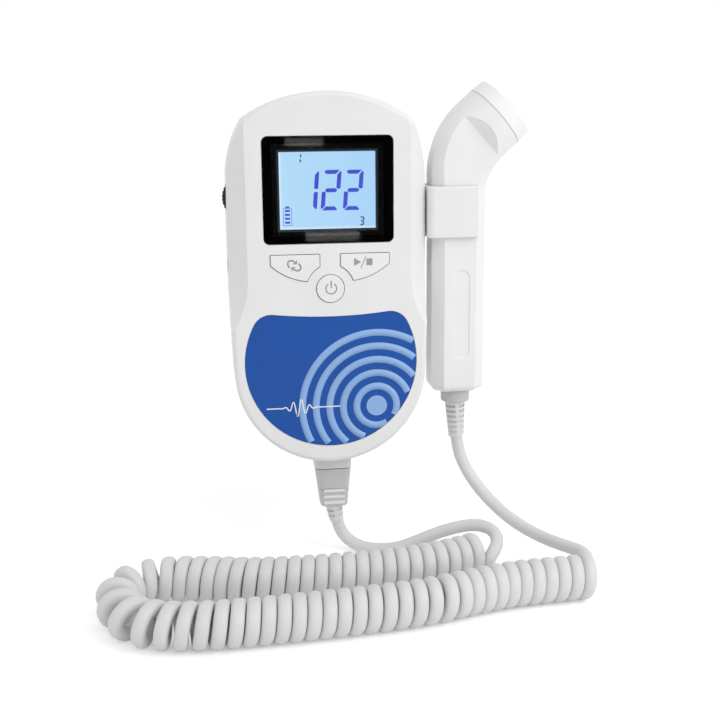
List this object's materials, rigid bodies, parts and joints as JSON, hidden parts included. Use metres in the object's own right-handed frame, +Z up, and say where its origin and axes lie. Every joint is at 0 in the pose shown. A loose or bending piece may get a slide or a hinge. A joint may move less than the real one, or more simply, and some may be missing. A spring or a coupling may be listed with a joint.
{
  "type": "fetal doppler monitor",
  "caption": "Hand-held ultrasound heartbeat monitor with a lit display, keys and speaker, and a bent probe in a side clip on a curly cord.",
  "frame": {"origin": "on the housing's flat back face, at its middle across and level with the widest part, where a hand holds the unit", "axes": "+X to the viewer's right, towards the probe; +Y away from the viewer, out of the back face; +Z up, towards the domed top"},
  "size_m": [0.1711, 0.1015, 0.177],
  "materials": {
    "housing_plastic": "satin off-white moulded plastic",
    "cover_plastic": "satin off-white moulded plastic, slightly darker",
    "window_gloss": "gloss black printed window",
    "lcd_glass": "lit pale blue display",
    "backlight_acrylic": "milky light guide",
    "frame_plastic": "black moulded plastic",
    "label_print": "blue printed label",
    "button_plastic": "satin pale grey keys",
    "silicone": "translucent silicone",
    "spring_steel": "bright metal",
    "board_laminate": "green solder mask",
    "component_epoxy": "black moulded epoxy",
    "speaker_steel": "grey plated steel",
    "speaker_paper": "black paper cone",
    "wheel_plastic": "black knurled plastic",
    "jack_plastic": "black moulded plastic",
    "cell_jacket": "plain printed jacket",
    "contact_metal": "gilt contact metal",
    "screw_steel": "zinc plated steel",
    "holder_plastic": "satin pale grey plastic",
    "socket_plastic": "grey moulded plastic",
    "plug_overmould": "grey soft overmould",
    "cord_jacket": "pale grey satin jacket",
    "probe_plastic": "satin off-white moulded plastic",
    "cap_plastic": "satin white moulded face",
    "seal_rubber": "grey rubber",
    "crystal_ceramic": "fired ceramic",
    "backing_epoxy": "filled epoxy"
  },
  "bodies": {
    "root": {"front_housing": "housing_plastic", "rear_housing": "housing_plastic", "display_window": "window_gloss", "lcd_panel": "lcd_glass", "backlight": "backlight_acrylic", "display_frame": "frame_plastic", "label_plate": "label_print", "button_membrane": "silicone", "switch_domes": "spring_steel", "main_circuit_board": "board_laminate", "board_components": "component_epoxy", "speaker_frame": "speaker_steel", "speaker_cone": "speaker_paper", "volume_potentiometer": "frame_plastic", "headphone_jack": "jack_plastic", "battery_cell_left": "cell_jacket", "battery_cell_right": "cell_jacket", "battery_contacts": "contact_metal", "battery_springs": "spring_steel", "housing_screws": "screw_steel", "probe_holder": "holder_plastic", "holder_screws": "screw_steel", "plug_socket": "socket_plastic", "socket_contacts": "contact_metal", "plug_lead": "cord_jacket", "curly_cord": "cord_jacket", "probe_lead": "cord_jacket"},
    "mode_button": {"mode_button": "button_plastic"},
    "start_stop_button": {"start_stop_button": "button_plastic"},
    "power_button": {"power_button": "button_plastic"},
    "volume_wheel": {"volume_wheel": "wheel_plastic"},
    "battery_cover": {"battery_cover": "cover_plastic"},
    "plug": {"plug_body": "plug_overmould", "plug_contacts": "contact_metal", "plug_strain_relief": "plug_overmould"},
    "probe": {"probe_strain_relief": "plug_overmould", "probe_collar": "socket_plastic", "probe_front_shell": "probe_plastic", "probe_rear_shell": "probe_plastic", "probe_cap": "cap_plastic", "seal_ring": "seal_rubber", "transducer_crystals": "crystal_ceramic", "acoustic_backing": "backing_epoxy", "probe_circuit_board": "board_laminate", "probe_screws": "screw_steel"}
  },
  "joints": [
    {"name": "mode_press", "type": "slide", "parent": "root", "child": "mode_button", "axis": [0, 1, 0], "range_m": [0, 0.0008], "stiffness_N_per_m": 1500},
    {"name": "start_stop_press", "type": "slide", "parent": "root", "child": "start_stop_button", "axis": [0, 1, 0], "range_m": [0, 0.0008], "stiffness_N_per_m": 1500},
    {"name": "power_press", "type": "slide", "parent": "root", "child": "power_button", "axis": [0, 1, 0], "range_m": [0, 0.0008], "stiffness_N_per_m": 1500},
    {"name": "volume_turn", "type": "hinge", "parent": "root", "child": "volume_wheel", "pos_m": [-0.02925, -0.0181, 0.0299], "axis": [0, 1, 0], "range_deg": [-135, 135]},
    {"name": "battery_cover_slide", "type": "slide", "parent": "root", "child": "battery_cover", "axis": [0, 0, -1], "range_m": [0, 0.03]},
    {"name": "plug_slide", "type": "slide", "parent": "root", "child": "plug", "axis": [0, 0, -1], "range_m": [0, 0.0095], "deforming": ["plug_lead"]},
    {"name": "probe_slide", "type": "slide", "parent": "root", "child": "probe", "axis": [0, 0, 1], "range_m": [0, 0.085], "deforming": ["probe_lead"]}
  ]
}
